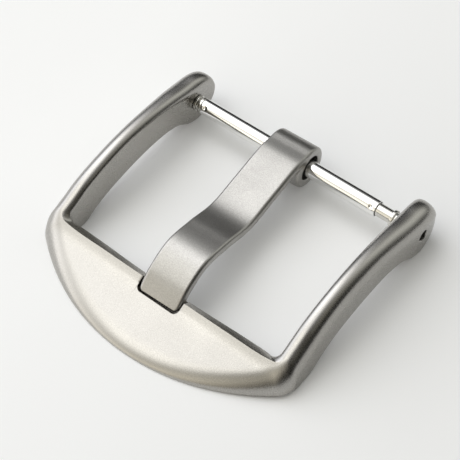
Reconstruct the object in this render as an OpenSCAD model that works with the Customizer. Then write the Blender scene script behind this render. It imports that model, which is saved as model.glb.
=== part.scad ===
// Pin buckle for a watch strap: a one-piece arched frame, a bent tongue that swings on
// a sprung bar, and the bar itself, with its tube, its two shouldered plungers and its spring.
// The bar's axis is the X axis, the front plate lies towards -Y, and +Z is up.

/* [Strap and spring bar] */
// Gap between the arms at the front plate, which is the width of the strap
strap_w = 22; // [16:1:26]
// Outer diameter of the spring bar's tube
tube_d = 1.55; // [1.3:0.05:1.7]
// Thickness of the tube's wall
tube_wall = 0.1; // [0.1:0.025:0.15]
// Diameter of a plunger's tip, which enters the arm
tip_d = 0.9; // [0.6:0.02:0.96]
// Length of a plunger's tip
tip_l = 0.65; // [0.4:0.05:0.9]
// Free play between the tube and the two shoulders together
bar_play = 1.44; // [1.4:0.02:2]
// Width of one flange of a plunger's shoulder
flange_w = 0.28; // [0.2:0.02:0.3]
// Width of the groove between the two flanges
groove_w = 0.22; // [0.1:0.02:0.3]

/* [Frame] */
// Distance from the bar to the front plate's rear edge
reach = 17.2; // [15:0.05:20]
// Width of the front plate at its middle, from rear edge to front edge
plate_l = 6.1; // [5:0.05:8]
// Thickness of an arm
arm_t = 2.1; // [1.6:0.1:2.6]
// Thickness of an arm at its rear end, around the bar's tip
lug_t = 2.3; // [1.8:0.1:2.8]
// Distance by which each arm stands further out at the bar than at the front plate
arm_splay = 0.12; // [0:0.02:0.2]
// Distance by which an arm widens again where it turns into the front corner
corner_flare = 0.15; // [0:0.05:0.3]
// Height of the bar's axis above the surface that the buckle rests on
rest_h = 2.25; // [2:0.05:2.6]
// Height of the arms' highest place above the bar's axis
crest_h = 2.95; // [2.7:0.05:3.1]
// Distance from the bar to the arm's rear end
lug_l = 2.7; // [2.2:0.05:3]
// Radius of the front edge, seen from above
front_r = 19.75; // [18:0.25:30]
// Radius of the two front corners, seen from above
corner_r = 2.6; // [1.5:0.1:3]
// Radius of the window's two front corners
window_r = 0.6; // [0.25:0.05:1]
// Depth that the recess for the tongue's tip has behind the tip
recess_l = 1.65; // [1.2:0.05:2.2]

/* [Tongue] */
// Width of the tongue
tongue_w = 4.1; // [3:0.1:5]
// Thickness of the tongue
tongue_t = 0.9; // [0.7:0.05:1.1]
// Radius of the tongue's eye on the outside
eye_r = 1.98; // [1.9:0.01:2.4]
// Radius of the hole through the eye
eye_bore_r = 1.19; // [1.1:0.01:1.25]
// Distance by which the eye lies off the middle of the bar
eye_offset = -0.47; // [-0.6:0.01:0.6]
// Radius of the corners of the tongue's tip, seen from above
tip_corner_r = 0.5; // [0.2:0.05:0.8]

/* [Clearances] */
// Gap at each side of the tongue's tip in its recess
recess_side = 0.12; // [0.08:0.01:0.3]
// Gap in front of the tongue's tip
recess_front = 0.12; // [0.1:0.01:0.3]
// Gap under the tongue's tip
recess_under = 0.05; // [0.03:0.01:0.2]
// Radial gap between a tip and its hole in the arm
hole_gap = 0.09; // [0.03:0.01:0.1]
// Radial gap between the tube and what slides in it
slide_gap = 0.025; // [0.02:0.005:0.05]

/* [Hidden] */
$fn = 64;

gap_half = strap_w / 2;
bar_half = gap_half + arm_splay;
outer_half = gap_half + arm_t + corner_flare;
plate_rear = -reach;
plate_front = -reach - plate_l;
// A cutter reaches this far past the face that it opens
overcut = 1;

// Straight and cubic interpolation
function mix(a, b, t) = a + (b - a) * t;
function slope_at(k, i) =
    let (a = k[max(i - 1, 0)])
    let (b = k[min(i + 1, len(k) - 1)])
    (b[1] - a[1]) / (b[0] - a[0]);
function span_at(k, y, i = 0) = (i >= len(k) - 2 || y > k[i + 1][0]) ? i : span_at(k, y, i + 1);
function hermite(k, y, i) =
    let (w = k[i + 1][0] - k[i][0])
    let (t = min(max((y - k[i][0]) / w, 0), 1))
    (2 * t ^ 3 - 3 * t ^ 2 + 1) * k[i][1]
    + (t ^ 3 - 2 * t ^ 2 + t) * w * slope_at(k, i)
    + (3 * t ^ 2 - 2 * t ^ 3) * k[i + 1][1]
    + (t ^ 3 - t ^ 2) * w * slope_at(k, i + 1);
// Height of a curve at y, through knots [y, z] that run from the rear to the front
function curve_z(k, y) = hermite(k, y, span_at(k, y));

// Side view of the frame. A knot is a share of the reach, a share of the plate and a share of a height
function side_knots(list, h) = [for (k = list) [-reach * k[0] - plate_l * k[1], h * k[2]]];
crest_knots = side_knots([
    [-0.16, 0, 0.69],
    [0, 0, 0.745],
    [0.17, 0, 0.9],
    [0.36, 0, 1],
    [0.53, 0, 0.983],
    [0.69, 0, 0.847],
    [0.83, 0, 0.627],
    [0.93, 0, 0.373],
    [1, 0, 0.2],
    [1, 0.25, -0.085],
    [1, 1, -0.593]
], crest_h);
belly_knots = side_knots([
    [-0.16, 0, 1],
    [0, 0, 1],
    [0.075, 0, 0.84],
    [0.165, 0, 0.387],
    [0.29, 0, 0.182],
    [0.49, 0, 0.191],
    [0.69, 0, 0.418],
    [0.81, 0, 0.68],
    [0.91, 0, 1],
    [1, 1, 1]
], -rest_h);

// Heights of the top and of the underside. The arm's rear end is drawn in to a blunt round, which
// is fuller above than below
cap_blunt = 0.03;
cap_top = 2.4;
cap_low = 2;
function cap(y, n) = y <= 0 ? 1 : max(1 - (y / lug_l) ^ n, cap_blunt ^ n) ^ (1 / n);
function crest(y) = curve_z(crest_knots, y);
function belly(y) = max(curve_z(belly_knots, y), -rest_h);

// Outline of the frame seen from above, for the left half, from the rear to the middle
front_c = plate_front + front_r;
fillet_x = outer_half - corner_r;
fillet_y = front_c - sqrt((front_r - corner_r) ^ 2 - fillet_x ^ 2);
fillet_turn = acos(fillet_x / (front_r - corner_r));
end_round = 0.3;
cap_steps = 9;
arm_steps = 26;
corner_steps = 8;
plate_steps = 15;

// The two sides of an arm. It is splayed a little, and thicker around the bar's tip
lug_run = 6;
flare_run = 6;
function ease(t) = let (c = min(max(t, 0), 1)) c * c * (3 - 2 * c);
function inner_x(y) = gap_half + arm_splay * ease(1 + y / reach);
function outer_x(y) =
    inner_x(y)
    + mix(lug_t, arm_t, ease(-y / lug_run))
    + corner_flare * ease(1 - (y - fillet_y) / flare_run);

// A section is its inner point, its outer point and how far along it is: 0 to 1 on the arm,
// 1 to 2 round the corner and 2 to 3 across the plate
function cap_sections() = [
    for (i = [0:cap_steps - 1])
    let (y = lug_l * cos(90 * i / cap_steps))
    let (inset = end_round * (1 - cap(y, cap_low)))
    [[-inner_x(y), y], [-outer_x(y) + inset, y], 0]
];
function arm_sections() = [
    for (i = [0:arm_steps - 1])
    let (t = i / arm_steps)
    let (y = t * fillet_y)
    let (y_in = t * (plate_rear + window_r))
    [[-inner_x(y_in), y_in], [-outer_x(y), y], t]
];
function corner_sections() = [
    for (i = [0:corner_steps - 1])
    let (t = i / corner_steps)
    let (a = 90 * t)
    let (b = fillet_turn * t)
    [
        [-gap_half + window_r * (1 - cos(a)), plate_rear + window_r * (1 - sin(a))],
        [-fillet_x - corner_r * cos(b), fillet_y - corner_r * sin(b)],
        1 + t
    ]
];
function plate_sections() = [
    for (i = [0:plate_steps])
    let (t = i / plate_steps)
    let (a = mix(fillet_turn, 90, t))
    [
        [(-gap_half + window_r) * (1 - t), plate_rear],
        [-front_r * cos(a), front_c - front_r * sin(a)],
        2 + t
    ]
];
half_sections = concat(cap_sections(), arm_sections(), corner_sections(), plate_sections());
function mirrored(s) = [[-s[0][0], s[0][1]], [-s[1][0], s[1][1]], s[2]];
sections = concat(
    half_sections,
    [for (i = [len(half_sections) - 2:-1:0]) mirrored(half_sections[i])]
);

// Rounding of the top's edges as [width, drop]: at the rear ends, on the arms and on the plate.
// Round the plate's front it takes up a share of the height that there is
outer_round_lug = [1.7, 1.45];
outer_round_arm = [1.5, 1.6];
front_round = 1.5;
front_share = 0.9;
inner_round_lug = [1, 0.9];
inner_round_arm = [0.85, 0.48];
inner_round_plate = [0.6, 0.85];
round_run = 0.6 * reach;
function outer_round(s) =
    let (y = s[1][1])
    let (arm = mix(outer_round_lug, outer_round_arm, ease(-s[0][1] / round_run)))
    mix(arm, [front_round, front_share * (crest(y) - belly(y))], ease((s[2] - 0.7) / 1.1));
function inner_round(s) =
    let (arm = mix(inner_round_lug, inner_round_arm, ease(-s[0][1] / round_run)))
    mix(arm, inner_round_plate, ease((s[2] - 0.8) / 1.2));
// The plate's rear edge is a flat bevel, not a round one. Towards the window's corners its foot
// stands out by up to this much, and fills them
corner_web = 0.35;
function flat(s) = ease(s[2] - 1);
function web(s) = corner_web * ease(s[2] - 1) * (s[0][0] / gap_half) ^ 2;
// Both upright edges of the rear end are rounded by this much, on the inside and on the outside
end_in = 0.2;
end_out = 0.45;
// An arm's two walls lean towards each other, by this much on the inside and on the outside
wall_lean = [0.2, 0.15];
// At the two front corners the outer wall swells out above its foot, which is drawn in
corner_swell = 0.25;
function swell(s) = corner_swell * ease((s[2] - 0.95) / 0.45) * (1 - ease((s[2] - 1.6) / 0.8));
function lean(s) = wall_lean * ease(-s[0][1] / round_run) * (1 - ease(s[2] - 1.5));
outer_steps = 6;
mid_steps = 4;
inner_steps = 4;

// One section as a closed ring of points: the top from inside to outside, then the underside.
// A point is given by its distance from the inside, its drop and how far the rear end draws it in
function ring(s) =
    let (a = s[0])
    let (b = s[1])
    let (len_ab = norm(b - a))
    let (dir = (b - a) / len_ab)
    let (inner = inner_round(s))
    let (outer = outer_round(s))
    let (from = lean(s)[0] - web(s))
    let (to = len_ab - lean(s)[1] + swell(s))
    let (fit = min(1, 0.95 * (to - from) / (inner[0] + outer[0])))
    let (wi = inner[0] * fit + web(s))
    let (wo = outer[0] * fit)
    let (top = concat(
        [
            for (i = [0:inner_steps - 1])
            let (q = 90 * i / inner_steps)
            let (across = mix(1 - cos(q), i / inner_steps, flat(s)))
            let (drop = mix(1 - sin(q), 1 - i / inner_steps, flat(s)))
            [from + wi * across, inner[1] * drop, end_in * (1 - sin(q))]
        ],
        [for (i = [0:mid_steps - 1]) [mix(from + wi, to - wo, i / mid_steps), 0, 0]],
        [
            for (i = [outer_steps:-1:0])
            let (q = 90 * i / outer_steps)
            [to - wo * (1 - cos(q)), outer[1] * (1 - sin(q)), end_out * (1 - sin(q))]
        ]
    ))
    let (under = [[len_ab - swell(s), 0, end_out], [len_ab - wo, 0, 0], [wi, 0, 0], [-web(s), 0, end_in]])
    concat(
        [
            for (e = top)
            let (p = a + dir * e[0])
            let (free = crest(p[1]) - belly(p[1]))
            drawn_in(p, e[2], crest(p[1]) - min(e[1], 0.8 * free))
        ],
        [for (e = under) let (p = a + dir * e[0]) drawn_in(p, e[2], belly(p[1]))]
    );
function drawn_in(p, by, z) = [
    p[0],
    p[1] > 0 ? p[1] * (1 - by / lug_l) : p[1],
    z * cap(p[1], z > 0 ? cap_top : cap_low)
];

module frame_shell() {
    rings = [for (s = sections) ring(s)];
    n = len(rings[0]);
    m = len(rings);
    sides = [
        for (i = [0:m - 2])
        for (j = [0:n - 1])
        let (k = (j + 1) % n)
        each [
            [i * n + j, (i + 1) * n + k, i * n + k],
            [i * n + j, (i + 1) * n + j, (i + 1) * n + k]
        ]
    ];
    // An end is closed in two fans, from the two middle points of its underside
    split = inner_steps + mid_steps;
    fans = concat(
        [for (j = [0:split - 1]) [n - 2, j, j + 1]],
        [[n - 2, n - 1, 0], [n - 2, split, n - 3]],
        [for (j = [split:n - 6]) [n - 3, j, j + 1]],
        [[n - 3, n - 5, n - 4]]
    );
    far = (m - 1) * n;
    ends = concat(fans, [for (f = fans) [f[0] + far, f[2] + far, f[1] + far]]);
    polyhedron([for (r = rings) each r], concat(sides, ends));
}

// The eye is loose on the bar and hangs a little below it, given in Y and Z
eye_at = [0.06, -0.1];

// Side view of the tongue's top, as knots [y, z] from the eye to the tip
tip_y = plate_rear - recess_l + recess_front;
tongue_knots = [
    [-0.018 * reach, eye_r + eye_at[1]],
    [-0.107 * reach, 1.98],
    [-0.31 * reach, 1.43],
    [-0.504 * reach, 0.97],
    [-0.681 * reach, 1.68],
    [-0.85 * reach, 2.05],
    [-0.988 * reach, 1.08],
    [tip_y, -0.4]
];
tongue_steps = 44;
tongue_top = [
    for (i = [0:tongue_steps])
    let (y = mix(tongue_knots[0][0], tip_y, i / tongue_steps))
    [y, curve_z(tongue_knots, y)]
];
// The underside lies one thickness below, square to the top
function normal_at(p, i) =
    let (d = p[min(i + 1, len(p) - 1)] - p[max(i - 1, 0)])
    [d[1], -d[0]] / norm(d);
tongue_under = [for (i = [0:tongue_steps]) tongue_top[i] - tongue_t * normal_at(tongue_top, i)];
tongue_turn = atan(-eye_offset / -tip_y);

// Draws a side view, given in Y and Z, as wide as asked for and centred on X = 0
module side_extrude(w) {
    rotate([90, 0, 90])
        translate([0, 0, -w / 2])
            linear_extrude(w)
                children();
}

module frame() {
    color([0.8, 0.79, 0.76])
    difference() {
        frame_shell();
        for (side = [-1, 1])
            translate([side * (bar_half + lug_t / 2), 0, 0])
                rotate([0, 90, 0])
                    cylinder(d = tip_d + 2 * hole_gap, h = lug_t + overcut, center = true);
        recess_cut();
    }
}

// Cutter for the tongue's recess: its floor follows the underside of the tongue's tip, and its
// front follows the tip's round corners
module recess_cut() {
    recess_w = tongue_w + 2 * recess_side;
    floor_tip = tongue_under[tongue_steps] - [0, recess_under];
    floor_rear = tongue_under[tongue_steps - 5] - [0, recess_under];
    run = (floor_rear[1] - floor_tip[1]) / (floor_rear[0] - floor_tip[0]);
    cut_front = tip_y - recess_front;
    cut_rear = plate_rear + overcut;
    intersection() {
        side_extrude(recess_w)
            polygon([
                [cut_front, floor_tip[1] + run * (cut_front - floor_tip[0])],
                [cut_rear, floor_tip[1] + run * (cut_rear - floor_tip[0])],
                [cut_rear, rest_h],
                [cut_front, rest_h]
            ]);
        strip_plan(recess_w, cut_front, tip_corner_r);
    }
}

module tongue() {
    color([0.78, 0.77, 0.74])
    translate([eye_offset, 0, 0])
    rotate([0, 0, tongue_turn])
    intersection() {
        side_extrude(tongue_w)
            difference() {
                union() {
                    polygon(concat(tongue_top, [for (i = [tongue_steps:-1:0]) tongue_under[i]]));
                    translate(eye_at) circle(r = eye_r);
                }
                translate(eye_at) circle(r = eye_bore_r);
            }
        strip_plan(tongue_w, tip_y, tip_corner_r);
    }
}

// A strip seen from above: straight sides, and two round corners at its front
module strip_plan(w, front, corner) {
    inner_w = w - 2 * corner;
    translate([0, 0, -eye_r - overcut])
        linear_extrude(2 * (eye_r + overcut) + crest_h) {
            translate([-w / 2, front + corner])
                square([w, -front - corner + eye_r]);
            translate([-inner_w / 2, front])
                square([inner_w, corner * 2]);
            for (side = [-1, 1])
                translate([side * inner_w / 2, front + corner])
                    circle(r = corner);
        }
}

// Spring bar, along X. The left shoulder touches the tube, the right one stands off by the play
wall_gap = 0.04;
touch_gap = 0.01;
shoulder_w = 2 * flange_w + groove_w;
bar_left = -bar_half + wall_gap;
tube_left = bar_left + shoulder_w + touch_gap;
tube_right = -bar_left - shoulder_w - bar_play;
bore_r = tube_d / 2 - tube_wall;
head_r = bore_r - slide_gap;
stem_r = head_r - 0.05;
flange_r = tube_d / 2 - 0.02;
groove_r = flange_r - 0.2;
stem_to = shoulder_w + bar_play + 1.2;
head_to = stem_to + 0.8;
tip_bevel = 0.08;
dimple_in = 0.5;
dimple_r = 0.22;
dimple_turn = 47;
edge_r = 0.08;

module along_x() {
    rotate([0, 90, 0]) children();
}

module bar_tube() {
    color([0.86, 0.87, 0.87])
    difference() {
        union() {
            along_x()
                rotate_extrude()
                    polygon([
                        [bore_r, tube_left],
                        [tube_d / 2 - edge_r, tube_left],
                        [tube_d / 2, tube_left + edge_r],
                        [tube_d / 2, tube_right - edge_r / 3],
                        [tube_d / 2 - edge_r / 3, tube_right],
                        [bore_r, tube_right]
                    ]);
            dimples(stem_r + slide_gap, tube_d / 2 - 0.05, dimple_r);
        }
        dimples(tube_d / 2 - 0.09, tube_d, dimple_r * 0.8);
    }
}

// Dimples that are pressed into the tube's wall near its ends and hold the plungers in
module dimples(from_r, to_r, r) {
    for (x = [tube_left + dimple_in, tube_right - dimple_in])
        translate([x, 0, 0])
            rotate([dimple_turn, 0, 0])
                translate([0, 0, from_r])
                    cylinder(r = r, h = to_r - from_r, $fn = 32);
}

// A turned plunger. Its shoulder starts at x = 0 and the tip points to -X. The stem ends at a
// slightly wider head, which the spring pushes on and the dimples hold back
module plunger() {
    along_x()
        rotate_extrude()
            polygon([
                [0, -tip_l],
                [tip_d / 2 - tip_bevel, -tip_l],
                [tip_d / 2, -tip_l + tip_bevel],
                [tip_d / 2, 0],
                [flange_r, 0],
                [flange_r, flange_w],
                [groove_r, flange_w],
                [groove_r, flange_w + groove_w],
                [flange_r, flange_w + groove_w],
                [flange_r, shoulder_w],
                [stem_r, shoulder_w],
                [stem_r, stem_to],
                [head_r, stem_to],
                [head_r, head_to],
                [0, head_to]
            ]);
}

module plunger_left() {
    color([0.84, 0.84, 0.83])
    translate([bar_left, 0, 0])
        plunger();
}

module plunger_right() {
    color([0.84, 0.84, 0.83])
    translate([-bar_left, 0, 0])
        mirror([1, 0, 0])
            plunger();
}

// Compression spring between the two heads: one tube of wire along a helix
wire_r = 0.075;
coil_gap = 0.05;
coil_r = bore_r - coil_gap - wire_r;
coil_turns = 20;
coil_rings = 8;
wire_sides = 6;
end_gap = 0.03;
coil_x0 = bar_left + head_to + wire_r + end_gap;
coil_len = -2 * coil_x0;
coil_pitch = coil_len / coil_turns;
coil_lean = atan(coil_pitch / (2 * PI * coil_r));
echo(spring_self_gap = coil_pitch * cos(coil_lean) - 2 * wire_r);

module bar_spring() {
    n = coil_turns * coil_rings;
    wire = [
        for (i = [0:n])
        let (a = 360 * i / coil_rings)
        for (j = [0:wire_sides - 1])
        let (b = 360 * j / wire_sides)
        let (out = coil_r + wire_r * cos(b))
        [
            coil_x0 + coil_pitch * i / coil_rings + wire_r * sin(b) * cos(coil_lean),
            out * cos(a) + wire_r * sin(b) * sin(coil_lean) * sin(a),
            out * sin(a) - wire_r * sin(b) * sin(coil_lean) * cos(a)
        ]
    ];
    sides = [
        for (i = [0:n - 1])
        for (j = [0:wire_sides - 1])
        let (k = (j + 1) % wire_sides)
        let (p = i * wire_sides)
        let (q = p + wire_sides)
        each [[p + j, q + k, q + j], [p + j, p + k, q + k]]
    ];
    first = [for (j = [wire_sides - 1:-1:0]) j];
    last = [for (j = [0:wire_sides - 1]) n * wire_sides + j];
    color([0.6, 0.6, 0.6])
        polyhedron(wire, concat(sides, [first, last]));
}

frame();
tongue();
bar_tube();
plunger_left();
plunger_right();
bar_spring();
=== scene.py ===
from collections import namedtuple
from math import acos, atan, atan2, cos, pi, radians, sin, sqrt

import bmesh
import bpy
from mathutils import Matrix, Vector
from mathutils.geometry import tessellate_polygon


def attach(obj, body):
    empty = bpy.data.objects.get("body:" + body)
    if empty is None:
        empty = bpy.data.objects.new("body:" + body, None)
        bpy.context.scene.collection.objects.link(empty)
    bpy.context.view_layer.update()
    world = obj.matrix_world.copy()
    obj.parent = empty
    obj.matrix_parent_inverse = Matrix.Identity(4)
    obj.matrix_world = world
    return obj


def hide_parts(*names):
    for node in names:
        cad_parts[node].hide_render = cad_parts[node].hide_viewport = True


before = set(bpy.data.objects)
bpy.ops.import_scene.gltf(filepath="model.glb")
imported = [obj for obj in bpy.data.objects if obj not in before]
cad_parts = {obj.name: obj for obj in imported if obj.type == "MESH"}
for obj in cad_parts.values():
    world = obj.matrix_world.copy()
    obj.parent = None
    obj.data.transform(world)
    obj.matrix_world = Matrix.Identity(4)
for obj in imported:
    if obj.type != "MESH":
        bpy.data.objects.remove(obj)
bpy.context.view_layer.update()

# Lengths are in millimetres until a mesh is made. The axes are those of the CAD source: X runs along
# the bar, Y from the front plate to the bar and Z up, with the origin on the bar's axis
MM = 0.001

# Frame
GAP_HALF = 11.0        # half the gap between the arms at the front plate
ARM_SPLAY = 0.12       # each arm stands this much further out at the bar
REACH = 17.2           # from the bar to the plate's rear edge
PLATE_L = 6.1          # from the plate's rear edge to its front edge, at the middle
LUG_L = 2.7            # from the bar to the arm's rear end
ARM_T = 2.1            # thickness of an arm
LUG_T = 2.3            # thickness of an arm around the bar's tip
REST_H = 2.25          # from the surface that the buckle rests on up to the bar's axis
CREST_H = 2.95         # from the bar's axis up to the arms' highest place
FRONT_R = 19.75        # radius of the front edge, seen from above
CORNER_R = 2.6         # radius of the two front corners, seen from above
CORNER_FLARE = 0.15    # an arm widens by this where it turns into the front corner
WINDOW_R = 0.6         # radius of the window's two front corners
HOLE_R = 0.54          # hole for the bar's tip

# Tongue, and the recess for its tip
TONGUE_W = 4.1
TONGUE_T = 0.9
EYE_R = 1.98           # outside of the rolled eye
EYE_BORE_R = 1.19
EYE_AT = (0.06, -0.1)  # middle of the eye, as (y, z)
EYE_OFFSET = -0.47     # the eye lies this far off the middle of the bar
TIP_CORNER_R = 0.5     # radius of the tip's corners, seen from above
RECESS_L = 1.65        # from the window's edge to the recess's front wall
RECESS_SIDE = 0.12     # gap at each side of the tip
RECESS_FRONT = 0.12    # gap in front of the tip
RECESS_UNDER = 0.05    # gap under the tip

# Spring bar. The tube rests against the left plunger's shoulder
TUBE_R = 0.775
BORE_R = 0.675
TIP_R = 0.45
TIP_L = 0.65
STEM_R = 0.6
STEM_IN = 1.2          # length of stem that stays inside the tube when all the play is on its side
HEAD_R = 0.65
HEAD_L = 0.8
FLANGE_W = 0.28
GROOVE_W = 0.22
SHOULDER_W = 2 * FLANGE_W + GROOVE_W
FLANGE_R = TUBE_R - 0.02
GROOVE_R = FLANGE_R - 0.2
ARM_GAP = 0.04         # from an arm to the shoulder
SEAT_GAP = 0.01        # from the left shoulder to the tube
BAR_PLAY = 1.44        # free play between the tube and the two shoulders together
BAR_LEFT = -(GAP_HALF + ARM_SPLAY) + ARM_GAP
TUBE_LEFT = BAR_LEFT + SHOULDER_W + SEAT_GAP
TUBE_RIGHT = -BAR_LEFT - SHOULDER_W - BAR_PLAY
STEM_TO = SHOULDER_W + BAR_PLAY + STEM_IN
HEAD_TO = STEM_TO + HEAD_L

PLATE_REAR = -REACH
PLATE_FRONT = -REACH - PLATE_L
OUTER_HALF = GAP_HALF + ARM_T + CORNER_FLARE
TIP_Y = PLATE_REAR - RECESS_L + RECESS_FRONT

SHARP_ANGLE = 35       # degrees between two faces from which their edge is shaded sharp


# Interpolation along a line and through knots

def mix(a, b, t):
    return a + (b - a) * t


def mix_pair(a, b, t):
    return (mix(a[0], b[0], t), mix(a[1], b[1], t))


def ease(t):
    c = min(max(t, 0.0), 1.0)
    return c * c * (3 - 2 * c)


def slope_at(k, i):
    a = k[max(i - 1, 0)]
    b = k[min(i + 1, len(k) - 1)]
    return (b[1] - a[1]) / (b[0] - a[0])


def curve_z(k, y):
    """Height at y of a smooth curve through knots (y, z) that run from the rear to the front."""
    i = 0
    while i < len(k) - 2 and y <= k[i + 1][0]:
        i += 1
    w = k[i + 1][0] - k[i][0]
    t = min(max((y - k[i][0]) / w, 0.0), 1.0)
    return ((2 * t ** 3 - 3 * t ** 2 + 1) * k[i][1]
            + (t ** 3 - 2 * t ** 2 + t) * w * slope_at(k, i)
            + (3 * t ** 2 - 2 * t ** 3) * k[i + 1][1]
            + (t ** 3 - t ** 2) * w * slope_at(k, i + 1))


def side_knots(rows, h):
    """Knots (y, z) from rows of shares: of the reach, of the plate's length and of the height."""
    return [(-REACH * a - PLATE_L * b, h * c) for a, b, c in rows]


def rounded_in(over, r):
    """How far a round edge of radius r is drawn in at a distance past its start."""
    return r - sqrt(max(r ** 2 - max(over, 0) ** 2, 0))


# Mesh helpers

def link_object(name, verts, faces):
    mesh = bpy.data.meshes.new(name)
    mesh.from_pydata([Vector(v) * MM for v in verts], [], faces)
    mesh.validate()
    obj = bpy.data.objects.new(name, mesh)
    bpy.context.scene.collection.objects.link(obj)
    return obj


def tidy_mesh(obj, sharp):
    """Joins double points, drops faces without an area and shades smooth up to an angle in degrees."""
    same, tiny = 2e-7, 1e-8
    bm = bmesh.new()
    bm.from_mesh(obj.data)
    bmesh.ops.remove_doubles(bm, verts=bm.verts, dist=same)
    bmesh.ops.dissolve_degenerate(bm, edges=bm.edges, dist=tiny)
    bmesh.ops.recalc_face_normals(bm, faces=bm.faces)
    bm.to_mesh(obj.data)
    bm.free()
    for p in obj.data.polygons:
        p.use_smooth = True
    obj.data.set_sharp_from_angle(angle=radians(sharp))


def make_piece(name, verts, faces, body, node, sharp=SHARP_ANGLE):
    """A smooth-shaded mesh that stands for a CAD node and rides on its body."""
    obj = link_object(name, verts, faces)
    tidy_mesh(obj, sharp)
    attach(obj, body)
    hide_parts(node)
    return obj


def joined(rings):
    return [p for r in rings for p in r]


def bridge(rings, closed=True, loop=False):
    """Quads between successive rings of equal length, as faces over the rings joined end to end.

    A closed ring joins its last point to its first, and a loop joins the last ring to the first.
    """
    n = len(rings[0])
    m = len(rings)
    faces = []
    for i in range(m if loop else m - 1):
        a = i * n
        b = ((i + 1) % m) * n
        for j in range(n if closed else n - 1):
            k = (j + 1) % n
            faces.append((a + j, a + k, b + k, b + j))
    return faces


def revolve(profile, steps, solid=False):
    """A profile [(r, x)] turned round the X axis. That of a solid starts and ends on the axis."""
    rings = []
    for i in range(steps):
        a = 2 * pi * i / steps
        rings.append([(x, r * cos(a), r * sin(a)) for r, x in profile])
    return joined(rings), bridge(rings, closed=not solid, loop=True)


def apply_modifiers(obj):
    bpy.context.view_layer.update()
    shaped = obj.evaluated_get(bpy.context.evaluated_depsgraph_get())
    mesh = bpy.data.meshes.new_from_object(shaped)
    obj.modifiers.clear()
    obj.data = mesh


# Frame: the CAD's sections, taken finer, with the lower edges and the recess's edges broken

CREST = side_knots([
    (-0.16, 0, 0.69), (0, 0, 0.745), (0.17, 0, 0.9), (0.36, 0, 1), (0.53, 0, 0.983), (0.69, 0, 0.847),
    (0.83, 0, 0.627), (0.93, 0, 0.373), (1, 0, 0.2), (1, 0.25, -0.085), (1, 1, -0.593)], CREST_H)
BELLY = side_knots([
    (-0.16, 0, 1), (0, 0, 1), (0.075, 0, 0.84), (0.165, 0, 0.387), (0.29, 0, 0.182),
    (0.49, 0, 0.191), (0.69, 0, 0.418), (0.81, 0, 0.68), (0.91, 0, 1), (1, 1, 1)], -REST_H)

# The arm's rear end is drawn in to a blunt round, which is fuller above than below
CAP_TOP = 2.4
CAP_LOW = 2
END_ROUND = 0.3

# Lengths along Y over which an arm's thickness, its flare and the rounding of its edges change
LUG_RUN = 6.0
FLARE_RUN = 6.0
ROUND_RUN = 0.6 * REACH

# Front edge and front corners, seen from above
FRONT_C = PLATE_FRONT + FRONT_R
FILLET_X = OUTER_HALF - CORNER_R
FILLET_Y = FRONT_C - sqrt((FRONT_R - CORNER_R) ** 2 - FILLET_X ** 2)
FILLET_TURN = acos(FILLET_X / (FRONT_R - CORNER_R))

# Recess for the tongue's tip
NOTCH_HALF = TONGUE_W / 2 + RECESS_SIDE
NOTCH_R = 0.5
NOTCH_MARGIN = 0.25    # the plate's even sections end this far beside it
BREAK = 0.06           # its edges are broken by this
BREAK_MID = 0.3        # share of it at the broken edge's middle line

# Rounding of the top's edges as (width, drop): around the bar's tip, on the arms and on the plate,
# where the outer edge's drop is a share of the height and the inner edge is a flat bevel
OUTER_LUG, OUTER_ARM = (1.7, 1.45), (1.5, 1.6)
OUTER_PLATE_W, OUTER_PLATE_SHARE = 1.5, 0.9
INNER_LUG, INNER_ARM = (1.0, 0.9), (0.85, 0.48)
BEVEL = (0.6, 0.85)
MAX_DROP = 0.8         # a rounding takes at most this share of the height
MAX_WIDTH = 0.95       # both roundings together take at most this share of the width

# Depth to which the rear end's upright edges are rounded, inside and outside
END_IN, END_OUT = 0.2, 0.45
# The arms' walls lean in towards the top near the front, and the front corners swell out above
# their foot
LEAN_IN, LEAN_OUT = 0.2, 0.15
CORNER_SWELL = 0.25
# The bevel and the wall below it fill the window's corners by this
CORNER_WEB = 0.35

# Places along the sections where a form changes, as (first progress, run)
OUTER_CHANGE = (0.7, 1.1)
INNER_CHANGE = (0.8, 1.2)
BEVEL_START = (1.0, 1.0)
LEAN_STOP = (1.5, 1.0)
SWELL_START = (0.95, 0.45)
SWELL_STOP = (1.6, 0.8)

# The lower edges' round, as shares of its size along the underside and up the wall. The first and
# the last are lines beside it, which keep it tight
BESIDE = 1.35
LOW_ROUND = ((0, BESIDE), (0, 1), (0.11, 0.58), (0.35, 0.27), (0.66, 0.07), (1, 0), (BESIDE, 0))
LOW_EDGE = 0.16
LOW_SHARE = 0.35       # it takes at most this share of the wall's height
LOW_OUTER = 0.2        # and at most these shares of the section's width, outside and inside
LOW_INNER = 0.1
UNDER_LINES = (0.86, 0.74, 0.6, 0.4, 0.26, 0.14)

# Numbers of lines over the top: inner rounding, middle and outer rounding
INNER_N, MID_N, OUTER_N = 10, 10, 16
TOP_N = INNER_N + MID_N + OUTER_N + 1
NOTCH_LINE = INNER_N + 3   # the last line on the recess's floor

# Kinds of section: beside the recess, the two lines of its broken edge, and through the recess
PLAIN, HALF_BROKEN, BROKEN, RECESSED = range(4)

# Progress runs from 0 to 1 along the arm, to 2 round the corner and to PLATE_END along the plate,
# and it is RECESS_AT from the recess's side to the middle
PLATE_END = 2.8
RECESS_AT = 3.0
Section = namedtuple("Section", "inner outer progress kind")


def cap(y, n):
    return 1.0 if y <= 0 else max(1 - (y / LUG_L) ** n, 0.0) ** (1 / n)


def crest(y):
    return curve_z(CREST, y)


def belly(y):
    return max(curve_z(BELLY, y), -REST_H)


def inner_x(y):
    return GAP_HALF + ARM_SPLAY * ease(1 + y / REACH)


def outer_x(y):
    flare = CORNER_FLARE * ease(1 - (y - FILLET_Y) / FLARE_RUN)
    return inner_x(y) + mix(LUG_T, ARM_T, ease(-y / LUG_RUN)) + flare


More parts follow.
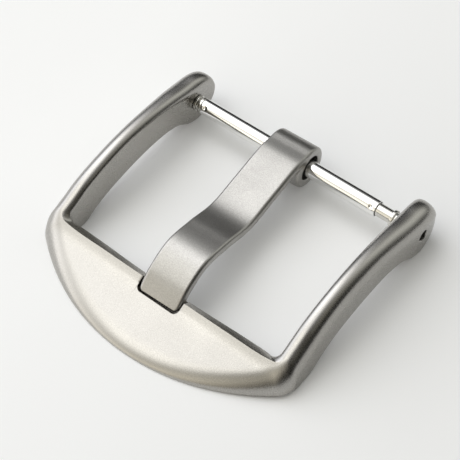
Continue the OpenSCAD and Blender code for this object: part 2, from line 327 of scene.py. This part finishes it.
def front_y(x):
    return FRONT_C - sqrt(FRONT_R ** 2 - x ** 2)


def notch_front(x):
    """Distance from the window's edge of the recess's front wall, whose ends are round."""
    over = min(max(abs(x) - NOTCH_HALF + NOTCH_R, 0.0), NOTCH_R)
    return RECESS_L - NOTCH_R + sqrt(NOTCH_R ** 2 - over ** 2)


def half_sections():
    """Sections of the left half, from the rear end to the middle."""
    out = []
    caps, arms, corners, plates = 22, 64, 22, 26
    first_cap = 0.12
    for i in range(caps):
        y = LUG_L * cos(pi / 2 * (i + first_cap) / caps)
        inset = END_ROUND * (1 - cap(y, CAP_LOW))
        out.append(Section((-inner_x(y), y), (-outer_x(y) + inset, y), 0.0, PLAIN))
    for i in range(arms):
        t = i / arms
        y = t * FILLET_Y
        y_in = t * (PLATE_REAR + WINDOW_R)
        out.append(Section((-inner_x(y_in), y_in), (-outer_x(y), y), t, PLAIN))
    for i in range(corners):
        t = i / corners
        a = pi / 2 * t
        b = FILLET_TURN * t
        out.append(Section(
            (-GAP_HALF + WINDOW_R * (1 - cos(a)), PLATE_REAR + WINDOW_R * (1 - sin(a))),
            (-FILLET_X - CORNER_R * cos(b), FILLET_Y - CORNER_R * sin(b)), 1 + t, PLAIN))
    for i in range(plates + 1):
        t = i / plates
        x_in = mix(GAP_HALF - WINDOW_R, NOTCH_HALF + NOTCH_MARGIN, t)
        x_out = mix(FRONT_R * cos(FILLET_TURN), NOTCH_HALF + NOTCH_MARGIN, t)
        out.append(Section(
            (-x_in, PLATE_REAR), (-x_out, front_y(x_out)), mix(2, PLATE_END, t), PLAIN))
    rows = [(NOTCH_HALF + BREAK, PLAIN), (NOTCH_HALF + BREAK * BREAK_MID, HALF_BROKEN),
            (NOTCH_HALF, BROKEN)]
    rows += [(NOTCH_HALF - NOTCH_R * (1 - cos(radians(q))), RECESSED) for q in range(0, 91, 10)]
    rows += [(NOTCH_HALF * f, RECESSED) for f in (0.6, 0.4, 0.2, 0.0)]
    for x, kind in rows:
        out.append(Section((-x, PLATE_REAR), (-x, front_y(x)), RECESS_AT, kind))
    return out


def passed(s, change):
    """How far a section has passed a change, from 0 to 1."""
    return ease((s.progress - change[0]) / change[1])


def outer_round(s):
    y = s.outer[1]
    arm = mix_pair(OUTER_LUG, OUTER_ARM, ease(-s.inner[1] / ROUND_RUN))
    plate = (OUTER_PLATE_W, OUTER_PLATE_SHARE * (crest(y) - belly(y)))
    return mix_pair(arm, plate, passed(s, OUTER_CHANGE))


def inner_round(s):
    arm = mix_pair(INNER_LUG, INNER_ARM, ease(-s.inner[1] / ROUND_RUN))
    return mix_pair(arm, BEVEL, passed(s, INNER_CHANGE))


# Top of the tongue in side view, as (y, z)
TONGUE = [
    (-0.018 * REACH, EYE_R + EYE_AT[1]), (-0.107 * REACH, 1.98), (-0.31 * REACH, 1.43),
    (-0.504 * REACH, 0.97), (-0.681 * REACH, 1.68), (-0.85 * REACH, 2.05), (-0.988 * REACH, 1.08),
    (TIP_Y, -0.4)]


def tongue_normal(y):
    """Direction square to the tongue's top, as (y, z)."""
    h = 0.02
    a = max(min(y + h, TONGUE[0][0]), TIP_Y)
    b = max(y - h, TIP_Y)
    dy = b - a
    dz = curve_z(TONGUE, b) - curve_z(TONGUE, a)
    n = sqrt(dy * dy + dz * dz)
    return (dz / n, -dy / n)


def tongue_at(y, depth):
    """A point at a depth below the tongue's top, square to it, as (y, z)."""
    n = tongue_normal(y)
    return (y - depth * n[0], curve_z(TONGUE, y) - depth * n[1])


def floor_line():
    """Two points of the recess's floor, which follows the underside of the tongue's tip."""
    near_tip = 39 / 44
    tip = tongue_at(TIP_Y, TONGUE_T)
    rear = tongue_at(mix(TONGUE[0][0], TIP_Y, near_tip), TONGUE_T)
    return (tip[0], tip[1] - RECESS_UNDER), (rear[0], rear[1] - RECESS_UNDER)


FLOOR = floor_line()


def floor_z(y):
    run = (FLOOR[1][1] - FLOOR[0][1]) / (FLOOR[1][0] - FLOOR[0][0])
    return FLOOR[0][1] + run * (y - FLOOR[0][0])


def floor_distance(i, d, start, front):
    """Distance of a line on the recess's floor, kept between the window's edge and the front wall."""
    apart, before_wall = 0.02, 0.01
    if i == 0:
        return start
    if i == NOTCH_LINE:
        return front
    return min(max(d, i * apart), front - before_wall)


def plate_line(x, i, stop):
    """Distance from the window's edge of one of the plate's middle lines near the recess.

    The first lies along the bevel, and the fourth to the sixth make the recess's front edge.
    """
    f = notch_front(x)
    wall = 0.04
    near = (BEVEL[0], mix(BEVEL[0], f, 0.35), mix(BEVEL[0], f, 0.7), f - wall, f, f + BREAK)
    last = len(near) - 1
    if i <= last:
        return near[i]
    return mix(near[last], stop, (i - last) / (MID_N - last))


def top_lines(s, start, stop, inner, outer, flat):
    """Lines over a section's top, as distance from its inner point and drop below the crest.

    Near the recess the plate's middle lines gather at the recess's front edge.
    """
    gather_at, gather_run = 9.0, 5.0
    x = Vector(s.inner).x
    wi, wo = inner[0], outer[0]
    lines = []
    for i in range(INNER_N):
        q = pi / 2 * i / INNER_N
        across = mix(1 - cos(q), i / INNER_N, flat)
        drop = mix(1 - sin(q), 1 - i / INNER_N, flat)
        lines.append((start + wi * across, inner[1] * drop))
    gather = ease((gather_at - abs(x)) / gather_run) if s.progress >= 2 else 0.0
    for i in range(MID_N):
        even = mix(start + wi, stop - wo, i / MID_N)
        lines.append((mix(even, plate_line(x, i, stop - wo), gather), 0.0))
    for i in range(OUTER_N, -1, -1):
        q = pi / 2 * i / OUTER_N
        lines.append((stop - wo * (1 - cos(q)), outer[1] * (1 - sin(q))))
    return lines


def ring(s):
    """A section as a closed ring of points.

    It runs over the top from inside to outside, down the outer wall, back along the underside and
    up the inner wall.
    """
    a, b = Vector(s.inner), Vector(s.outer)
    length = (b - a).length
    along = (b - a) / length
    inner = inner_round(s)
    outer = outer_round(s)
    lean = ease(-a.y / ROUND_RUN) * (1 - passed(s, LEAN_STOP))
    flat = passed(s, BEVEL_START)
    web = CORNER_WEB * flat * (a.x / GAP_HALF) ** 2
    swell = CORNER_SWELL * passed(s, SWELL_START) * (1 - passed(s, SWELL_STOP))
    start = LEAN_IN * lean - web
    stop = length - LEAN_OUT * lean + swell
    fit = min(1.0, MAX_WIDTH * (stop - start) / (inner[0] + outer[0]))
    wi = inner[0] * fit + web
    wo = outer[0] * fit

    def draw(d):
        """How far the rounding of the rear end's upright edges draws a point in."""
        if d < start + wi:
            return END_IN * (1 - sin(acos(1 - max(d - start, 0) / wi)))
        if d > stop - wo:
            return END_OUT * (1 - sin(acos(1 - max(stop - d, 0) / wo)))
        return 0.0

    def place(d, z):
        p = a + along * d
        y = p.y * (1 - draw(d) / LUG_L) if p.y > 0 else p.y
        return (p.x, y, z * cap(p.y, CAP_TOP if z > 0 else CAP_LOW))

    points = []
    lines = top_lines(s, start, stop, (wi, inner[1]), (wo, outer[1]), flat)
    for i, (d, drop) in enumerate(lines):
        on_floor = s.kind == RECESSED and i <= NOTCH_LINE
        if on_floor:
            d = floor_distance(i, d, start, notch_front(a.x))
        p = a + along * d
        top = crest(p.y)
        z = top - min(drop, MAX_DROP * (top - belly(p.y)))
        if on_floor:
            z = min(floor_z(p.y), z - BREAK) - (BREAK if i == 0 else 0)
        elif s.kind != PLAIN and i <= NOTCH_LINE + 1:
            z -= BREAK * (BREAK_MID if s.kind == HALF_BROKEN else 1.0)
        points.append(place(d, z))

    high = crest(b.y) - min(outer[1], MAX_DROP * (crest(b.y) - belly(b.y)))
    e = min(LOW_EDGE, LOW_SHARE * (high - belly(b.y)), LOW_OUTER * length)
    for u, v in LOW_ROUND:
        points.append(place(length - swell * (1 - v / BESIDE) - e * u, belly(b.y) + e * v))
    for f in UNDER_LINES:
        points.append(place(length * f, belly((a + along * (length * f)).y)))
    high = floor_z(a.y) - BREAK if s.kind == RECESSED else crest(a.y) - inner[1]
    e = min(LOW_EDGE, LOW_SHARE * (high - belly(a.y)), LOW_INNER * length)
    for u, v in reversed(LOW_ROUND):
        points.append(place(e * u - web, belly(a.y) + e * v))
    return points


def close_end(points, base, faces):
    """Closes a rear end between the chain of its top and the chain of its walls and underside."""
    n = len(points)
    first = list(range(TOP_N))
    second = [0] + list(range(n - 1, TOP_N - 2, -1))
    i = j = 0
    while i < len(first) - 1 or j < len(second) - 1:
        ahead = abs(points[first[min(i + 1, len(first) - 1)]][0])
        other = abs(points[second[min(j + 1, len(second) - 1)]][0])
        if j == len(second) - 1 or (i < len(first) - 1 and ahead <= other):
            tri = (first[i], first[i + 1], second[j])
            i += 1
        else:
            tri = (first[i], second[j + 1], second[j])
            j += 1
        if len(set(tri)) == 3:
            faces.append(tuple(base + t for t in tri))


def drill(obj, side):
    """Takes out the hole for the bar's tip, with a narrow countersink on both faces of the arm."""
    countersink, overcut = 0.07, 0.5
    near, far = inner_x(0), outer_x(0)
    wide = HOLE_R + countersink + overcut
    profile = [
        (0, near - overcut), (wide, near - overcut), (HOLE_R, near + countersink),
        (HOLE_R, far - countersink), (wide, far + overcut), (0, far + overcut)]
    tool = link_object("drill", *revolve([(r, side * x) for r, x in profile], 48, solid=True))
    tidy_mesh(tool, SHARP_ANGLE)
    cut = obj.modifiers.new("hole", "BOOLEAN")
    cut.operation = "DIFFERENCE"
    cut.solver = "EXACT"
    cut.object = tool
    apply_modifiers(obj)
    bpy.data.objects.remove(tool)


def build_frame():
    half = [ring(s) for s in half_sections()]
    rings = half + [[(-x, y, z) for x, y, z in r] for r in reversed(half[:-1])]
    verts = joined(rings)
    faces = bridge(rings)
    close_end(rings[0], 0, faces)
    close_end(rings[-1], len(verts) - len(rings[-1]), faces)
    obj = make_piece("buckle_frame", verts, faces, "frame", "frame")
    for side in (-1, 1):
        drill(obj, side)
    tidy_mesh(obj, SHARP_ANGLE)
    return obj


# Tongue: its side view, drawn in near each side so that the long edges and the tip's corners are round

EDGE_R = 0.3           # round of the long edges
BORE_EDGE_R = 0.1      # round of the eye's bore
TIP_ROUND = 0.2        # round of the tip's upper edge, seen from the side
TIP_ROUND_LOSS = 0.5   # it shrinks by this share of the inset, down to the least
TIP_ROUND_LEAST = 0.03
FOOT_ROUND = 0.6       # round of the tip's lower edge, as a share of the upper
TOP_CLEAR = 1.3        # the even points above and below end this many radii before the tip's rounds
UNDER_CLEAR = 1.6


def meet_eye(depth, radius):
    """The y at which the tongue's underside, at a depth below its top, leaves the eye's outside."""
    near, far = TONGUE[0][0], -6.0
    for _ in range(50):
        middle = (near + far) / 2
        y, z = tongue_at(middle, depth)
        if sqrt((y - EYE_AT[0]) ** 2 + (z - EYE_AT[1]) ** 2) - radius > 0:
            far = middle
        else:
            near = middle
    return far


def tongue_outline(end_y, inset):
    """Closed side view as (y, z), with the whole outline drawn in by the inset."""
    points = []
    tops, unders, arcs = 90, 80, 60
    stop = end_y + inset
    normal = tongue_normal(stop)
    tangent = (-normal[1], normal[0])
    r = max(TIP_ROUND - inset * TIP_ROUND_LOSS, TIP_ROUND_LEAST)
    for i in range(tops + 1):
        points.append(tongue_at(mix(TONGUE[0][0], stop + r * TOP_CLEAR, i / tops), inset))
    corner = tongue_at(stop, inset)
    for q in (0, 22.5, 45, 67.5, 90):
        u = r * (1 - sin(radians(q)))
        v = r * (1 - cos(radians(q)))
        points.append((corner[0] - tangent[0] * u - normal[0] * v,
                       corner[1] - tangent[1] * u - normal[1] * v))
    deep = TONGUE_T - inset
    foot = tongue_at(stop, deep)
    r_foot = r * FOOT_ROUND
    for q in (0, 30, 60, 90):
        u = r_foot * (1 - cos(radians(q)))
        v = r_foot * (1 - sin(radians(q)))
        points.append((foot[0] - tangent[0] * u + normal[0] * v,
                       foot[1] - tangent[1] * u + normal[1] * v))
    radius = EYE_R - inset
    meet = meet_eye(deep, radius)
    for i in range(unders + 1):
        points.append(tongue_at(mix(stop + r_foot * UNDER_CLEAR, meet, i / unders), deep))
    y, z = tongue_at(meet, deep)
    first = atan2(z - EYE_AT[1], y - EYE_AT[0])
    if first > 0:
        first -= 2 * pi
    for i in range(1, arcs + 1):
        a = mix(first, pi / 2, i / arcs)
        points.append((EYE_AT[0] + radius * cos(a), EYE_AT[1] + radius * sin(a)))
    return points


def build_tongue():
    """The tongue, made straight and then turned a little, so that its tip lies in the recess."""
    half = TONGUE_W / 2
    flat = half - TIP_CORNER_R
    levels = [0.0, flat * 0.5, flat]
    levels += [flat + (TIP_CORNER_R - EDGE_R) * t for t in (0.2, 0.45, 0.7, 0.9)]
    levels += [half - EDGE_R + EDGE_R * sin(pi / 2 * i / 8) for i in range(9)]
    side = []
    bore = []
    for x in levels:
        back = rounded_in(x - flat, TIP_CORNER_R)
        inset = rounded_in(x - (half - EDGE_R), EDGE_R)
        side.append((x, tongue_outline(TIP_Y + back, inset)))
        bore.append((x, EYE_BORE_R + rounded_in(x - (half - BORE_EDGE_R), BORE_EDGE_R)))
    side = [(-x, o) for x, o in reversed(side[1:])] + side
    bore = [(-x, r) for x, r in reversed(bore[1:])] + bore
    steps = 96
    rings = [[(x, y, z) for y, z in o] for x, o in side]
    holes = [[(x, EYE_AT[0] + r * cos(2 * pi * i / steps), EYE_AT[1] + r * sin(2 * pi * i / steps))
              for i in range(steps)] for x, r in bore]
    verts = joined(rings)
    faces = bridge(rings)
    base = len(verts)
    verts += joined(holes)
    faces += [tuple(base + i for i in reversed(f)) for f in bridge(holes)]
    n = len(rings[0])
    for which in (0, -1):
        outer_loop = [Vector((0, p[1], p[2])) for p in rings[which]]
        hole_loop = [Vector((0, p[1], p[2])) for p in holes[which]]
        first = 0 if which == 0 else base - n
        second = base if which == 0 else len(verts) - steps
        for tri in tessellate_polygon([outer_loop, hole_loop]):
            faces.append(tuple(first + i if i < n else second + i - n for i in tri))
    turn = atan(-EYE_OFFSET / -TIP_Y)
    c, s = cos(turn), sin(turn)
    verts = [(EYE_OFFSET + x * c - y * s, x * s + y * c, z) for x, y, z in verts]
    return make_piece("buckle_tongue", verts, faces, "tongue", "tongue", sharp=50)


# Spring bar

DIMPLE_IN = 0.5        # from an end of the tube to the middle of its dimple
DIMPLE_R = 0.22
DIMPLE_FADE_R = DIMPLE_R * 1.25
DIMPLE_DEPTH = 0.085
DIMPLE_TURN = radians(47)
TOWARD_DIMPLE = Vector((-sin(DIMPLE_TURN), cos(DIMPLE_TURN)))


def arc_in(x, r, side, size, steps):
    """Points of a round edge between a face at x and an outside of radius r.

    Side -1 is a left face and side 1 a right one.
    """
    out = []
    for i in range(steps + 1):
        q = pi / 2 * i / steps
        out.append((r - size * (1 - sin(q)), x - side * size * (1 - cos(q))))
    return out


def spaced(start, stop, step):
    out = []
    while start < stop:
        out.append(start)
        start += step
    return out


def pressed(point):
    """A point of the tube, drawn in where it lies in one of the two dimples."""
    x, y, z = point
    r = sqrt(y * y + z * z)
    facing = y * TOWARD_DIMPLE.x + z * TOWARD_DIMPLE.y
    across = y * TOWARD_DIMPLE.y - z * TOWARD_DIMPLE.x
    if r <= (BORE_R + TUBE_R) / 2 or facing <= 0:
        return point
    for middle in (TUBE_LEFT + DIMPLE_IN, TUBE_RIGHT - DIMPLE_IN):
        d = sqrt((x - middle) ** 2 + across ** 2)
        if d < DIMPLE_FADE_R:
            k = (r - DIMPLE_DEPTH * (0.5 + 0.5 * cos(pi * d / DIMPLE_FADE_R))) / r
            return (x, y * k, z * k)
    return point


def build_tube():
    """The tube, with close lines where the dimples are. Its left end is rounder than its right one."""
    round_left, round_right = 0.08, 0.04
    past_left, past_right = 0.13, 0.05
    dimpled, close = 1.0, 0.03
    count = 40
    outside = [(BORE_R, TUBE_LEFT + 0.015), (BORE_R + 0.01, TUBE_LEFT)]
    outside += arc_in(TUBE_LEFT, TUBE_R, -1, round_left, 8)
    lines = spaced(TUBE_LEFT + past_left, TUBE_LEFT + dimpled, close)
    lines += [mix(TUBE_LEFT + dimpled + close, TUBE_RIGHT - dimpled - close, i / (count - 1))
              for i in range(count)]
    lines += spaced(TUBE_RIGHT - dimpled, TUBE_RIGHT - past_right, close)
    outside += [(TUBE_R, x) for x in lines]
    outside += reversed(arc_in(TUBE_RIGHT, TUBE_R, 1, round_right, 4))
    outside += [(BORE_R + 0.02, TUBE_RIGHT), (BORE_R, TUBE_RIGHT - 0.02)]
    inside = [(BORE_R, mix(TUBE_RIGHT - 0.3, TUBE_LEFT + 0.3, i / 8)) for i in range(9)]
    verts, faces = revolve(outside + inside, 144)
    return make_piece("bar_tube_polished", [pressed(v) for v in verts], faces,
                      "tube", "bar_tube", sharp=40)


def plunger_profile():
    """Turned profile (r, x) with the shoulder starting at 0 and the tip towards -X."""
    tip_edge, neck, fillet, lip, chamfer = 0.1, 0.02, 0.03, 0.02, 0.05

    def flange(x):
        edge = 0.035
        rise = arc_in(x, FLANGE_R, -1, edge, 4)
        return rise + list(reversed(arc_in(x + FLANGE_W, FLANGE_R, 1, edge, 4)))

    second = FLANGE_W + GROOVE_W
    out = [(0.0, -TIP_L), (TIP_R * 0.5, -TIP_L)] + arc_in(-TIP_L, TIP_R, -1, tip_edge, 5)
    out += [(TIP_R, -0.3), (TIP_R, -neck), (TIP_R + neck, 0.0)]
    out += flange(0.0)
    out += [(GROOVE_R + fillet, FLANGE_W), (GROOVE_R, FLANGE_W + fillet)]
    out += [(GROOVE_R, second - fillet), (GROOVE_R + fillet, second)]
    out += flange(second)
    out += [(STEM_R + fillet, SHOULDER_W), (STEM_R, SHOULDER_W + fillet), (STEM_R, STEM_TO)]
    out += [(HEAD_R - lip, STEM_TO), (HEAD_R, STEM_TO + lip)]
    out += [(HEAD_R, HEAD_TO - chamfer), (HEAD_R - chamfer, HEAD_TO), (0.0, HEAD_TO)]
    return out


def build_plunger(side):
    """The left plunger for side -1, and its mirror image for side 1."""
    name = "left" if side < 0 else "right"
    profile = [(r, -side * (BAR_LEFT + x)) for r, x in plunger_profile()]
    verts, faces = revolve(profile, 96, solid=True)
    return make_piece("bar_plunger_" + name, verts, faces,
                      name + "_plunger", "plunger_" + name, sharp=40)


def build_spring():
    """A coil of round wire between the two plungers' heads."""
    wire_r, coil_gap, end_gap = 0.075, 0.05, 0.03
    turns, per_turn, sides = 20, 28, 12
    coil_r = BORE_R - coil_gap - wire_r
    x0 = BAR_LEFT + HEAD_TO + wire_r + end_gap
    pitch = -2 * x0 / turns
    lean = atan(pitch / (2 * pi * coil_r))
    rings = []
    for i in range(turns * per_turn + 1):
        a = 2 * pi * i / per_turn
        row = []
        for j in range(sides):
            b = 2 * pi * j / sides
            out = coil_r + wire_r * cos(b)
            row.append((x0 + pitch * i / per_turn + wire_r * sin(b) * cos(lean),
                        out * cos(a) + wire_r * sin(b) * sin(lean) * sin(a),
                        out * sin(a) - wire_r * sin(b) * sin(lean) * cos(a)))
        rings.append(row)
    verts = joined(rings)
    faces = bridge(rings)
    faces.append(tuple(range(sides)))
    faces.append(tuple(range(len(verts) - sides, len(verts))))
    return make_piece("bar_spring_wire", verts, faces, "tube", "bar_spring", sharp=50)


# Materials. Lengths in their textures are in metres, as in the meshes

COLOUR_A, COLOUR_B, COLOUR_OUT = 6, 7, 2   # sockets of a Mix node that mixes colours
NOISE_MID = (0.35, 0.65)                   # noise values between which a fine grain varies
NOISE_WIDE = (0.3, 0.7)                    # the same for soft patches
GRAIN_DEPTH = 0.00002
RING_DEPTH = 0.000004


def new_material(name):
    mat = bpy.data.materials.new(name)
    mat.use_nodes = True
    nodes = mat.node_tree.nodes
    return mat, nodes, mat.node_tree.links, nodes["Principled BSDF"]


def noise(nodes, links, coords, scale, detail=2.0, rough=0.5, stretch=None):
    tex = nodes.new("ShaderNodeTexNoise")
    tex.inputs["Scale"].default_value = scale
    tex.inputs["Detail"].default_value = detail
    tex.inputs["Roughness"].default_value = rough
    if stretch:
        mapping = nodes.new("ShaderNodeMapping")
        mapping.inputs["Scale"].default_value = stretch
        links.new(coords, mapping.inputs["Vector"])
        coords = mapping.outputs["Vector"]
    links.new(coords, tex.inputs["Vector"])
    return tex.outputs["Fac"]


def remap(nodes, links, value, source, target):
    """A value carried from one range to another, and held at its ends."""
    node = nodes.new("ShaderNodeMapRange")
    node.inputs["From Min"].default_value, node.inputs["From Max"].default_value = source
    node.inputs["To Min"].default_value, node.inputs["To Max"].default_value = target
    links.new(value, node.inputs["Value"])
    return node.outputs["Result"]


def calculate(nodes, links, operation, *values, clamp=False):
    """Result of a Math node whose inputs are numbers or the outputs of other nodes."""
    node = nodes.new("ShaderNodeMath")
    node.operation = operation
    node.use_clamp = clamp
    for socket, value in zip(node.inputs, values):
        if isinstance(value, (int, float)):
            socket.default_value = value
        else:
            links.new(value, socket)
    return node.outputs["Value"]


def dress_metal(nodes, links, bsdf, light, dark, tone, rough, relief, strength, distance):
    """Colour from dark at tone 0 to light at tone 1, roughness, and a relief as bump."""
    colour = nodes.new("ShaderNodeMix")
    colour.data_type = "RGBA"
    colour.inputs[COLOUR_A].default_value = (*dark, 1)
    colour.inputs[COLOUR_B].default_value = (*light, 1)
    links.new(tone, colour.inputs[0])
    links.new(colour.outputs[COLOUR_OUT], bsdf.inputs["Base Color"])
    links.new(rough, bsdf.inputs["Roughness"])
    bump = nodes.new("ShaderNodeBump")
    bump.inputs["Strength"].default_value = strength
    bump.inputs["Distance"].default_value = distance
    links.new(relief, bump.inputs["Height"])
    links.new(bump.outputs["Normal"], bsdf.inputs["Normal"])
    bsdf.inputs["Metallic"].default_value = 1.0


def blasted_steel(name, light, dark, rough, grain):
    """Bead-blasted steel: a fine pitted grain, and patches that are a little smoother and lighter."""
    mat, nodes, links, bsdf = new_material(name)
    coords = nodes.new("ShaderNodeTexCoord").outputs["Object"]
    fine = noise(nodes, links, coords, scale=12000, rough=0.6)
    patch = noise(nodes, links, coords, scale=260, detail=3.0)
    pits = remap(nodes, links, fine, NOISE_MID, (0, 0.7))
    pale = remap(nodes, links, patch, NOISE_WIDE, (0, 0.3))
    tone = calculate(nodes, links, "ADD", pale, pits, clamp=True)
    smooth = remap(nodes, links, patch, NOISE_WIDE, (rough + 0.015, rough - 0.015))
    speck = remap(nodes, links, fine, NOISE_MID, (0.03, -0.03))
    rough_here = calculate(nodes, links, "ADD", smooth, speck)
    dress_metal(nodes, links, bsdf, light, dark, tone, rough_here, fine, grain, GRAIN_DEPTH)
    return mat


def turned_steel(name, light, dark, rough, lines):
    """Turned steel: faint rings round the bar, and patches that are darker and smoother."""
    mat, nodes, links, bsdf = new_material(name)
    coords = nodes.new("ShaderNodeTexCoord").outputs["Object"]
    rings = noise(nodes, links, coords, scale=1000, rough=0.6, stretch=(14, 0.6, 0.6))
    patch = noise(nodes, links, coords, scale=500, detail=3.0)
    tone = remap(nodes, links, patch, NOISE_WIDE, (0, 1))
    rough_here = remap(nodes, links, patch, (0.3, 0.75), (rough, rough + 0.07))
    dress_metal(nodes, links, bsdf, light, dark, tone, rough_here, rings, lines, RING_DEPTH)
    return mat


frame_steel = blasted_steel(
    "blasted_steel_frame", (0.44, 0.427, 0.405), (0.385, 0.373, 0.353), rough=0.28, grain=0.2)
tongue_steel = blasted_steel(
    "blasted_steel_tongue", (0.45, 0.44, 0.42), (0.32, 0.312, 0.297), rough=0.34, grain=0.7)
tube_steel = turned_steel(
    "polished_steel_tube", (0.9, 0.9, 0.89), (0.86, 0.86, 0.85), rough=0.07, lines=0.15)
plunger_steel = turned_steel(
    "turned_steel_plunger", (0.74, 0.73, 0.7), (0.62, 0.61, 0.58), rough=0.15, lines=0.4)
spring_steel = turned_steel(
    "drawn_steel_wire", (0.62, 0.61, 0.59), (0.5, 0.49, 0.47), rough=0.28, lines=0.4)

for piece, steel in (
        (build_frame(), frame_steel), (build_tongue(), tongue_steel), (build_tube(), tube_steel),
        (build_plunger(-1), plunger_steel), (build_plunger(1), plunger_steel),
        (build_spring(), spring_steel)):
    piece.data.materials.clear()
    piece.data.materials.append(steel)


# Floor and light

FLOOR_HALF = 600
FLOOR_TINT = (("Red", 0.975), ("Green", 0.982), ("Blue", 0.985))
FLOOR_OWN = 0.08       # share of the floor's brightness that is its own
# Painted shade: between these places the floor's colour gets darker towards +X, standing in for light
# that falls off across the floor
PAINTED_SHADE_FROM_TO = (-0.022, 0.022)   # places along X, in metres, between which the floor gets darker
PAINTED_SHADE_TONES = (1.0, 0.88)
CLOUD_TONES = (0.985, 1.0)

# Soft sources all round, as (azimuth, elevation, strength, tightness, colour). The angles are in
# degrees, azimuth 0 is +X and 90 is +Y
SOURCES = (
    (160, 58, 2.9, 18, (1.0, 1.0, 1.0)),
    (168, 36, 1.3, 16, (0.98, 1.0, 1.06)),
    (180, 80, 0.6, 16, (1.0, 1.0, 1.0)),
    (230, 58, 2.7, 36, (1.01, 1.0, 0.95)),
    (190, 26, 1.0, 16, (0.97, 1.0, 1.1)),
    (210, 34, 0.8, 16, (1.02, 1.0, 0.93)),
    (270, 34, 0.8, 16, (1.05, 1.0, 0.86)),
    (10, 52, 0.25, 16, (1.04, 1.0, 0.85)),
    (75, 60, 0.75, 16, (1.0, 1.0, 0.95)),
    (65, 30, 0.9, 16, (1.0, 1.01, 0.95)),
    (210, 10, 1.6, 16, (1.0, 1.0, 1.0)),
    (240, 10, 1.2, 16, (1.05, 1.0, 0.88)),
    (270, 10, 0.6, 16, (1.1, 1.0, 0.8)),
)
BACKDROP = (0.88, 0.88, 0.865)


def mix_shaders(nodes, links, share, first, second):
    blend = nodes.new("ShaderNodeMixShader")
    links.new(share, blend.inputs[0])
    links.new(first, blend.inputs[1])
    links.new(second, blend.inputs[2])
    return blend.outputs["Shader"]


def build_floor():
    """A pale floor with painted shade towards +X. A share of its brightness is its own."""
    corners = [(-1, -1), (1, -1), (1, 1), (-1, 1)]
    floor = link_object("floor", [(FLOOR_HALF * x, FLOOR_HALF * y, -REST_H) for x, y in corners],
                        [(0, 1, 2, 3)])
    mat, nodes, links, bsdf = new_material("floor_white")
    coords = nodes.new("ShaderNodeTexCoord").outputs["Object"]
    along = nodes.new("ShaderNodeSeparateXYZ")
    links.new(coords, along.inputs["Vector"])
    # Painted shade: the floor's colour darkens towards +X in place of light falling off
    fall = remap(nodes, links, along.outputs["X"], PAINTED_SHADE_FROM_TO, PAINTED_SHADE_TONES)
    cloud = remap(nodes, links, noise(nodes, links, coords, scale=30), NOISE_WIDE, CLOUD_TONES)
    tone = calculate(nodes, links, "MULTIPLY", fall, cloud)
    colour = nodes.new("ShaderNodeCombineColor")
    for channel, share in FLOOR_TINT:
        links.new(calculate(nodes, links, "MULTIPLY", tone, share), colour.inputs[channel])
    links.new(colour.outputs["Color"], bsdf.inputs["Base Color"])
    bsdf.inputs["Roughness"].default_value = 0.5
    # The floor's own share is seen by the camera and in the metal
    path = nodes.new("ShaderNodeLightPath")
    seen = calculate(nodes, links, "MAXIMUM",
                     path.outputs["Is Camera Ray"], path.outputs["Is Glossy Ray"])
    own = calculate(nodes, links, "MULTIPLY", seen, FLOOR_OWN)
    glow = nodes.new("ShaderNodeEmission")
    links.new(colour.outputs["Color"], glow.inputs["Color"])
    glow.inputs["Strength"].default_value = 1.0
    surface = mix_shaders(nodes, links, own, bsdf.outputs["BSDF"], glow.outputs["Emission"])
    links.new(surface, nodes["Material Output"].inputs["Surface"])
    floor.data.materials.append(mat)


def source_light(nodes, links, coords, azimuth, elevation, strength, tight, colour):
    """Light of one soft source, which is brightest in its direction and fades round it."""
    a, e = radians(azimuth), radians(elevation)
    toward = nodes.new("ShaderNodeVectorMath")
    toward.operation = "DOT_PRODUCT"
    toward.inputs[1].default_value = (cos(e) * cos(a), cos(e) * sin(a), sin(e))
    links.new(coords, toward.inputs[0])
    fall = calculate(nodes, links, "MULTIPLY_ADD", toward.outputs["Value"], tight, -tight)
    light = nodes.new("ShaderNodeVectorMath")
    light.operation = "SCALE"
    light.inputs[0].default_value = [c * strength for c in colour]
    links.new(calculate(nodes, links, "EXPONENT", fall), light.inputs["Scale"])
    return light.outputs["Vector"]


def build_world():
    """The sum of the sources as light, and a pale backdrop that only the camera sees."""
    world = bpy.data.worlds.new("studio")
    bpy.context.scene.world = world
    world.use_nodes = True
    nodes = world.node_tree.nodes
    links = world.node_tree.links
    coords = nodes.new("ShaderNodeTexCoord").outputs["Generated"]
    total = None
    for source in SOURCES:
        light = source_light(nodes, links, coords, *source)
        if total is None:
            total = light
        else:
            add = nodes.new("ShaderNodeVectorMath")
            links.new(total, add.inputs[0])
            links.new(light, add.inputs[1])
            total = add.outputs["Vector"]
    studio = nodes["Background"]
    links.new(total, studio.inputs["Color"])
    studio.inputs["Strength"].default_value = 1.0
    backdrop = nodes.new("ShaderNodeBackground")
    backdrop.inputs["Color"].default_value = (*BACKDROP, 1)
    path = nodes.new("ShaderNodeLightPath")
    surface = mix_shaders(nodes, links, path.outputs["Is Camera Ray"],
                          studio.outputs["Background"], backdrop.outputs["Background"])
    links.new(surface, nodes["World Output"].inputs["Surface"])


build_floor()
build_world()


# Camera, at the photograph's angle. Its place is in metres

CAMERA_RIGHT = Vector((0.780798, 0.624736, -0.007642))
CAMERA_UP = Vector((-0.495388, 0.626499, 0.601740))
CAMERA_BACK = Vector((0.380717, -0.466051, 0.798656))
CAMERA_AT = (0.040411, -0.058632, 0.084063)

camera_data = bpy.data.cameras.new("camera")
camera_data.sensor_fit = "HORIZONTAL"
camera_data.sensor_width = 36.0
camera_data.lens = 97.84
camera_data.clip_start = 0.005
camera = bpy.data.objects.new("camera", camera_data)
place = Matrix((CAMERA_RIGHT, CAMERA_UP, CAMERA_BACK)).transposed().to_4x4()
place.translation = CAMERA_AT
camera.matrix_world = place
bpy.context.scene.collection.objects.link(camera)
bpy.context.scene.camera = camera
bpy.context.scene.view_settings.view_transform = "Standard"
